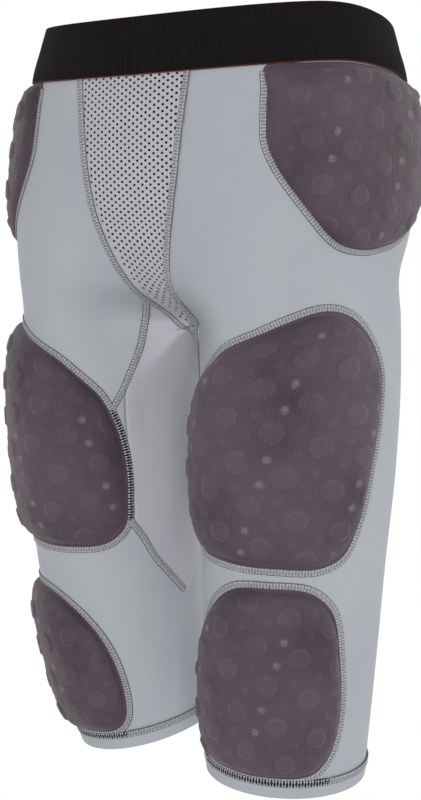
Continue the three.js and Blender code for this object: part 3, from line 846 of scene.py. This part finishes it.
def padFrame(pose, pad):
    along = max(pad["drop"] - trunkForm["crotchDrop"], 0) / legForm["length"]
    middle = (pad["turn"] + pose["twist"] * along ** 2,
              pad["drop"] + pose["sag"] * min(along * 4, 1))
    return middle, pad["wrap"] / 2, pad["height"] / 2 * (1 - pose["shorten"] * along)


def padOutline(pose, pad, steps=24):  # turn and drop round the pad's edge, as a smooth loop
    (turn, drop), halfWrap, halfHeight = padFrame(pose, pad)
    corners = np.array([(turn + across * halfWrap, drop - up * halfHeight)
                        for across, up in pad["outline"]])
    share = np.tile(np.arange(steps) / steps, len(corners))[:, None]
    return curvePoints(*(np.repeat(np.roll(corners, -k, 0), steps, 0) for k in (-1, 0, 1, 2)), share)


# also gives a painted highlight on the rims and dots, as a value per point
def studRelief(across, down, share):  # studs on a triangular lattice, small dots between them
    tilts = math.radians(padLook["studTilt"]) - np.array([0, math.pi / 3])
    lattice = np.stack([np.sin(tilts), np.cos(tilts)], 1) * padLook["studPitch"]
    flat = np.stack([across, down], -1)
    base = np.floor(flat @ np.linalg.inv(lattice))
    height, highlight, highlightTones = np.zeros(len(across)), np.zeros(len(across)), padLook["highlightTones"]
    for cell in np.ndindex(4, 4):
        i, j = np.array(cell) - 1
        for du, dv, radius, rise, isDot in padLook["bumps"]:
            away = np.linalg.norm(flat - (base + (i + du, j + dv)) @ lattice, axis=1) - radius
            bump = 1 - smoothStep(away, *padLook["bumpEdge"])
            height = np.maximum(height, rise * bump)
            if isDot:  # a few dots get a bright painted highlight
                isBright = (3 * (base[:, 0] + i) + 5 * (base[:, 1] + j)) % 4 == 0
                glint = 1 - smoothStep(away, *padLook["glintEdge"])
                highlight = np.maximum(highlight, np.where(isBright, highlightTones["brightGlint"], highlightTones["dot"]) * glint)
            else:
                rim = highlightTones["rim"] * bell(away, *padLook["rim"])
                highlight = np.maximum(highlight, np.maximum(highlightTones["stud"] * bump, rim))
    fade = 1 - smoothStep(share, *padLook["studFade"])
    return height * fade, highlight * fade


def padReach(kind, pose, pad, angle):  # how far the cover goes from its middle, in shares
    (turnMiddle, dropMiddle), halfWrap, halfHeight = padFrame(pose, pad)
    edge = padOutline(pose, pad)
    edgeAcross, edgeUp = (edge[:, 0] - turnMiddle) / halfWrap, (dropMiddle - edge[:, 1]) / halfHeight
    edgeAngle = np.arctan2(edgeUp, edgeAcross)
    order = np.argsort(edgeAngle)
    reach = np.interp(angle, edgeAngle[order], np.hypot(edgeAcross, edgeUp)[order], period=2 * np.pi)
    # the cover ends a little inside the solid, where the seam's bed takes over
    inset = pad["inset"] / (0.5 * (halfHeight + halfWrap * padLook["mmPerDegree"]))
    if kind == "hip":
        atTop = smoothStep(reach * np.sin(angle), *padLook["hipTop"])
        inset = inset * (1 - atTop) + padLook["hipTopInset"]
    return reach * (1 - inset)


def makePad(kind, name):
    pose, pad = poses[name], pads[kind]
    (turnMiddle, dropMiddle), halfWrap, halfHeight = padFrame(pose, pad)
    piece = flatGrid(kind + "_padding_" + name, padLook["grid"], padLook["grid"])
    editFaces(piece, bpy.ops.mesh.extrude_region_move, TRANSFORM_OT_translate={"value": (0, 0, 1)})
    flat = getPoints(piece)
    # from a square to a disc, then out to the pad's own outline
    u, v = flat[:, 0] * 2 - 1, flat[:, 1] * 2 - 1
    discX, discY = u * np.sqrt(1 - v * v / 2), v * np.sqrt(1 - u * u / 2)
    angle, radius = np.arctan2(discY, discX), np.minimum(np.hypot(discX, discY), 1)
    share = np.clip(1 - (1 - radius) ** padLook["spread"], 0, 1)
    reach = share * padReach(kind, pose, pad, angle)
    turn = turnMiddle + reach * np.cos(angle) * halfWrap
    drop = dropMiddle - reach * np.sin(angle) * halfHeight
    rise = np.sqrt(np.clip(1 - (share / padLook["shoulder"]) ** padLook["dome"], 0, 1))
    tuck, tuckStart = padLook["tuck"]
    lift = padLook["gap"] + padLook["cover"] - tuck * smoothStep(share, tuckStart, 1)
    lift += (pad["thickness"] - padLook["cover"]) * rise
    studTurn, studDrop = pad["studs"]
    height, highlight = studRelief((turn - studTurn) * padLook["mmPerDegree"], drop - studDrop, share)
    isTop = flat[:, 2] > 0.5
    lift = np.where(isTop, lift + height, padLook["gap"])
    # the painted highlight on the studs' rims and dots, for the cover's material
    studHighlight = piece.data.attributes.new("studHighlight", "FLOAT", "POINT")
    studHighlight.data.foreach_set("value", np.where(isTop, highlight, 0).astype(np.float32))
    setCoordinates(piece, turn * padLook["mmPerDegree"], drop)
    setPoints(piece, onBody(pose, turn, drop, lift) * millimetre)
    mergeDoubles(piece, 0.00001)
    turnOut(piece)
    finishPiece(piece, padCover, [kind + "_pad_" + name])


for kind in pads:
    for name in poses:
        makePad(kind, name)
    print("pads", kind)

# Seams: a raised bed along each path, a bar of thread across it at every stitch, and a row of needle
# stitches along each side. The needle stitches are real; their near-black colour is painted shadow along
# the seam's edges
seamLook = {
    "width": 4.5,
    "bedRise": 0.5,
    "bedEdge": 0.6,
    "bedDepth": 0.55,
    "bedRows": 6,
    "bedStep": 1.6,
    "bedThickness": 0.25,
    "pitch": 2.3,
    "threadRadius": 0.74,
    "threadHeight": 0.45,
    "threadLift": 0.1,
    "threadReach": 0.94,
    "lean": 0.2,
    "needleSize": (1.15, 0.5, 0.5),
    "needleLift": 0.05,
    "needleMargin": 0.15,
    "lift": 0.75,
    "hemLift": 1.35,
}


def pathFrames(points, normals, closed):  # a function from distance to frames, and the length
    if closed:
        points, normals = np.vstack([points, points[:1]]), np.vstack([normals, normals[:1]])
    steps = np.linalg.norm(np.diff(points, axis=0), axis=1)
    lengths = np.concatenate([[0], np.cumsum(steps)])
    length = lengths[-1]

    def valuesAt(distance, values):
        distance = distance % length if closed else np.clip(distance, 0, length)
        return np.stack([np.interp(distance, lengths, column) for column in values.T], -1)

    def framesAt(distance):
        distance = distance if closed else np.clip(distance, 0, length)
        place, up = valuesAt(distance, points), unit(valuesAt(distance, normals))
        along = unit(valuesAt(distance + 1, points) - valuesAt(distance - 1, points))
        return place, unit(np.cross(up, along)), up
    return framesAt, length


def stitchRow(count, spacing=10):  # copies of the active piece, and the number of each point's copy
    piece = bpy.context.object
    applied(piece, "ARRAY", count=count, use_relative_offset=False, use_constant_offset=True,
            constant_offset_displace=(spacing, 0, 0))
    x, y, z = getPoints(piece).T
    number = np.rint(x / spacing)
    return piece, number, x - number * spacing, y, z


def makeSeam(points, normals, closed, lift=seamLook["lift"]):
    width, bedRise = seamLook["width"], seamLook["bedRise"]
    framesAt, length = pathFrames(points + normals * lift, normals, closed)

    def laid(piece, distance, aside, height, down):
        place, across, up = framesAt(distance)
        setCoordinates(piece, distance, down)
        setPoints(piece, (place + across * aside[:, None] + up * height[:, None]) * millimetre)

    bed = flatGrid("seam_bed", max(8, int(length / seamLook["bedStep"])), seamLook["bedRows"])
    x, y, z = getPoints(bed).T
    side = y * 2 - 1
    height = bedRise * (1 - np.abs(side) ** 3) - seamLook["bedDepth"] * np.abs(side) ** 5
    laid(bed, x * length, side * (width / 2 + seamLook["bedEdge"]), height, y * width)
    count = max(3, int(round(length / seamLook["pitch"])))

    deselectAll()
    bpy.ops.mesh.primitive_cylinder_add(vertices=6, radius=1, depth=1, location=(0, 0, 0),
                                        rotation=(math.pi / 2, 0, 0))
    bpy.ops.object.transform_apply(rotation=True)
    threads, number, x, y, z = stitchRow(count)
    lean = 2 * seamLook["lean"] * np.where(number % 2 == 0, 1, -1)
    distance = (number + 0.5) * length / count + x * seamLook["threadRadius"] + y * lean
    height = bedRise * (1 - np.abs(y * 2) ** 3) + z * seamLook["threadHeight"]
    laid(threads, distance, y * width * seamLook["threadReach"], height + seamLook["threadLift"],
         y * width)

    deselectAll()
    bpy.ops.mesh.primitive_cube_add(size=1, location=(0, 0, 0))
    needles, number, x, y, z = stitchRow(2 * count)
    long, wide, high = seamLook["needleSize"]
    distance = (np.floor(number / 2) + 0.5) * length / count + x * long
    aside = np.where(number % 2 == 0, 1, -1) * (width / 2 + seamLook["needleMargin"]) + y * wide
    laid(needles, distance, aside, z * high + seamLook["needleLift"], y * wide)
    return bed, threads, needles


def smoothed(path, times=3):  # rounds the corners of an open path
    for _ in range(times):
        path = np.vstack([path[:1], (path[:-2] + 2 * path[1:-1] + path[2:]) / 4, path[-1:]])
    return path


def pathOnBody(pose, turn, drop, offset=0.0):
    row = rowAt(drop)
    points, normals = bodyPoints(pose, turn, row), bodyNormals(pose, turn, row)
    around = np.roll(points, -1, 0) - np.roll(points, 1, 0)
    outwards = unit(np.cross(around, normals))
    if ((outwards * (points - points.mean(0))).sum(1)).mean() < 0:
        outwards = -outwards
    return points + outwards * offset, normals


def openedAt(path, keep):  # the longest run of a closed path's kept points, in order
    start = int(np.argmax(keep & ~np.roll(keep, 1)))
    return [np.roll(values, -start, 0)[:int(keep.sum())] for values in path]


# Where the seams start and end, and where they are bold: drops, heights and gaps in millimetres,
# and shares of the pads, of the inner panel's length and of the crotch
routes = {
    "hipStart": 26,
    "boldInside": {"across": -0.84, "middle": -0.25, "reach": 0.49},
    "boldGaps": (18, 12),
    "boldHem": 0.85,
    "innerStart": 5,
    "innerEnds": {1: 0.985, -1: 0.86},
    "innerPoint": (0.862, 0.955),
    "front": (18, 214),
    "centreStart": 24,
    "crotch": (0.04, 0.5),
    "frontDip": 7.5,
}


def rounded(points, normals, times=3):  # an open path with its corners rounded
    return smoothed(points, times), unit(smoothed(normals, times))


def linked(*paths):  # one path of several, end to end
    return [np.vstack(parts) for parts in zip(*paths)]


def frontPath(across, heights):  # points and directions of a line on the front, by x and z
    drops = np.clip(-heights - routes["frontDip"], meshPanel["top"], groinDrop - 0.2)
    points = onFront(across, drops, 0)
    return points, unit(onFront(across, drops, 5) - points)


clothTree = BVHTree.FromPolygons(clothPoints, clothFaces)


def settled(path):  # lays a path's points on the cloth beneath them
    found = [clothTree.find_nearest(Vector(point * millimetre)) for point in path[0]]
    places, normals = list(zip(*found))[:2]
    # the side of the cloth that the path's own directions point to
    normals = np.array(normals)
    normals = normals * np.sign((normals * path[1]).sum(1) + 1e-9)[:, None]
    return smoothed(np.array(places) / millimetre), unit(smoothed(normals, 6))


def innerEdgePath(pose, sign):  # the inner panel's edge: 1 in front, -1 behind
    end = innerPanel["top"] + innerPanel["length"] * routes["innerEnds"][sign]
    drops = np.linspace(groinDrop + routes["innerStart"], end, 120)
    turn = -90 + sign * innerHalfWidth(pose, drops)
    turn = np.where(turn < -120, turn + 360, turn)
    path = bodyPoints(pose, turn, rowAt(drops)), bodyNormals(pose, turn, rowAt(drops))
    if sign > 0:  # in front it runs up to the mesh panel
        heights = -np.linspace(*routes["innerPoint"], 16) * trunkForm["crotchDrop"]
        across = frontWidth(innerPanel["point"], heights) * pose["innerReach"]
        path = linked(frontPath(meshPanel["sway"] + pose["side"] * across, heights), path)
    return settled(rounded(*path))


seams, darkSeams = [], []
for name, pose in poses.items():
    for kind, pad in pads.items():
        edge = padOutline(pose, pad)
        path = pathOnBody(pose, edge[:, 0], edge[:, 1], pad["band"])
        if kind == "hip":  # the hip pads run up under the waistband
            seams.append(makeSeam(*openedAt(path, edge[:, 1] > routes["hipStart"]), False))
        elif (name, kind) == ("right", "thigh"):  # it has a bold seam along its inner edge
            middle, halfWrap, halfHeight = padFrame(pose, pad)
            across, up = (edge[:, 0] - middle[0]) / halfWrap, (middle[1] - edge[:, 1]) / halfHeight
            inside = routes["boldInside"]
            bold = (across < inside["across"]) & (np.abs(up - inside["middle"]) < inside["reach"])
            boldPath = openedAt(path, bold)
            darkSeams.append(makeSeam(*boldPath, False))
            seams.append(makeSeam(*openedAt(path, ~bold), False))
        else:
            seams.append(makeSeam(*path, True))
    for sign in (1, -1):
        path = innerEdgePath(pose, sign)
        if name == "left" or sign < 0:
            seams.append(makeSeam(*path, False))
            continue
        # in front the bent leg's inner seam runs into the bold one, and out of it lower down
        height, boldHeight = path[0][:, 2], boldPath[0][:, 2]
        top, bottom = int(np.argmax(boldHeight)), int(np.argmin(boldHeight))
        gapAbove, gapBelow = routes["boldGaps"]
        above, below = height > boldHeight[top] + gapAbove, height < boldHeight[bottom] - gapBelow
        upper = linked([values[above] for values in path], [values[[top]] for values in boldPath])
        lower = linked([values[[bottom]] for values in boldPath], [values[below] for values in path])
        for part in (upper, lower):
            seams.append(makeSeam(*rounded(*part), False))
    # the hem's seam, bold under the knee pad
    turns = np.linspace(frontTurn, frontTurn + 360, 360, endpoint=False)
    path = pathOnBody(pose, turns, np.full(360, hemTop))
    middle, halfWrap, halfHeight = padFrame(pose, pads["knee"])
    bold = np.abs((turns - middle[0] + 180) % 360 - 180) < halfWrap * routes["boldHem"]
    for found, keep in ((darkSeams, bold), (seams, ~bold)):
        found.append(makeSeam(*openedAt(path, keep), False, lift=seamLook["hemLift"]))
for side in (1, -1):
    heights = -np.linspace(*routes["front"], 130)
    path = frontPath(meshPanel["sway"] + side * meshHalfWidth(heights), heights)
    if side < 0:  # the right one goes on across the point, to the left leg
        run = path[0][-1] + np.linspace(0.1, 1, 10)[:, None] * meshPanel["pointRun"]
        path = linked(path, settled((run, np.tile(path[1][-1], (10, 1)))))
    seams.append(makeSeam(*rounded(*path), False))
# the centre seam behind and under the crotch, back to the mesh panel's point
row, turns = rowAt(np.linspace(routes["centreStart"], groinDrop, 90)), np.full(90, float(backTurn))
behind = bodyPoints(poses["left"], turns, row), bodyNormals(poses["left"], turns, row)
beneath = crotchPoints(np.linspace(*routes["crotch"], 30)), np.tile((0, 0, -1.0), (30, 1))
points, normals = linked(behind, beneath)
points[:, 0], normals[:, 0] = 0, 0
seams.append(makeSeam(smoothed(points, 6), unit(smoothed(normals, 12)), False))

beds, bars, needles = (list(parts) for parts in zip(*seams))
darkBeds, darkBars, darkNeedles = (list(parts) for parts in zip(*darkSeams))
for pieces, name, material, slot in ((beds, "seam_beds", seamBed, "hem_band"),
                                     (bars, "seam_threads", paleThread, "hem_band"),
                                     (needles + darkNeedles, "needle_threads_painted_shade", needleShadeThread, "hem_band"),
                                     (darkBeds, "hem_seam_beds", darkBed, "ribbed_elastic"),
                                     (darkBars, "hem_seam_threads", paleThread, "hem_band")):
    joined = joinPieces(pieces, name)
    if "beds" in name:
        thickened(joined, seamLook["bedThickness"])
    turnOut(joined)
    finishPiece(joined, material)
    print(name, len(joined.data.polygons))

# Floor, light and camera
stageLook = {"floor": -1.05, "radius": 0.9, "white": 0.8, "dim": 0.2, "middle": -0.28}
cameraLook = {"turn": 35, "rise": 7, "distance": 1.12, "aim": (-0.005, 0, -0.278), "lens": 61.9}


def directionAt(turn, rise):  # away from the garment; 0 is its front, 90 its left side
    around, above = math.radians(turn), math.radians(rise)
    return Vector((math.sin(around) * math.cos(above), -math.cos(around) * math.cos(above),
                   math.sin(above)))


deselectAll()
bpy.ops.mesh.primitive_cylinder_add(vertices=96, radius=stageLook["radius"], depth=0.02,
                                    location=(0, 0, stageLook["floor"] - 0.01))
floor = bpy.context.object
floor.name = "floor"
floorMaterial, floorTree, floorShader = newMaterial("pale_floor")
setSockets(floorTree, floorShader, {"Base Color": (*[stageLook["white"]] * 3, 1), "Roughness": 0.9})
floor.data.materials.append(floorMaterial)

# the studio is white behind the garment and dimmer in front of it
world = bpy.data.worlds.new("studio")
bpy.context.scene.world = world
world.use_nodes = True
studio = world.node_tree
direction = addNode(studio, "ShaderNodeTexCoord", {})
behind = addNode(studio, "ShaderNodeVectorMath",
                 {0: direction.outputs["Generated"], 1: -directionAt(cameraLook["turn"], 0)},
                 operation="DOT_PRODUCT")
wall = addNode(studio, "ShaderNodeValToRGB", {"Fac": spreadOut(studio, behind.outputs["Value"], -1, 1)})
for element, (position, value) in zip(wall.color_ramp.elements, ((0.45, stageLook["dim"]), (0.65, 1))):
    element.position = position
    element.color = (value, value, value, 1)
setSockets(studio, studio.nodes["Background"], {"Color": wall.outputs["Color"], "Strength": 1})

lights = {
    "front": {"turn": 32, "rise": 6, "distance": 2.6, "size": 1.3, "power": 54},
    "left": {"turn": -45, "rise": 12, "distance": 2.6, "size": 1.4, "power": 12},
    "side": {"turn": 118, "rise": 12, "distance": 2.6, "size": 1.3, "power": 27},
}
for name, look in lights.items():
    away = directionAt(look["turn"], look["rise"])
    deselectAll()
    bpy.ops.object.light_add(type="AREA",
                             location=away * look["distance"] + Vector((0, 0, stageLook["middle"])))
    lamp = bpy.context.object
    lamp.name = name
    lamp.data.size = look["size"]
    lamp.data.energy = look["power"]
    lamp.rotation_euler = away.to_track_quat("Z", "Y").to_euler()

back = directionAt(cameraLook["turn"], cameraLook["rise"])
bpy.ops.object.camera_add(location=Vector(cameraLook["aim"]) + back * cameraLook["distance"])
camera = bpy.context.object
camera.rotation_euler = (-back).to_track_quat("-Z", "Y").to_euler()
camera.data.lens = cameraLook["lens"]
camera.data.sensor_width = 36
bpy.context.scene.camera = camera
bpy.context.scene.view_settings.view_transform = "Standard"
print("stage ready")
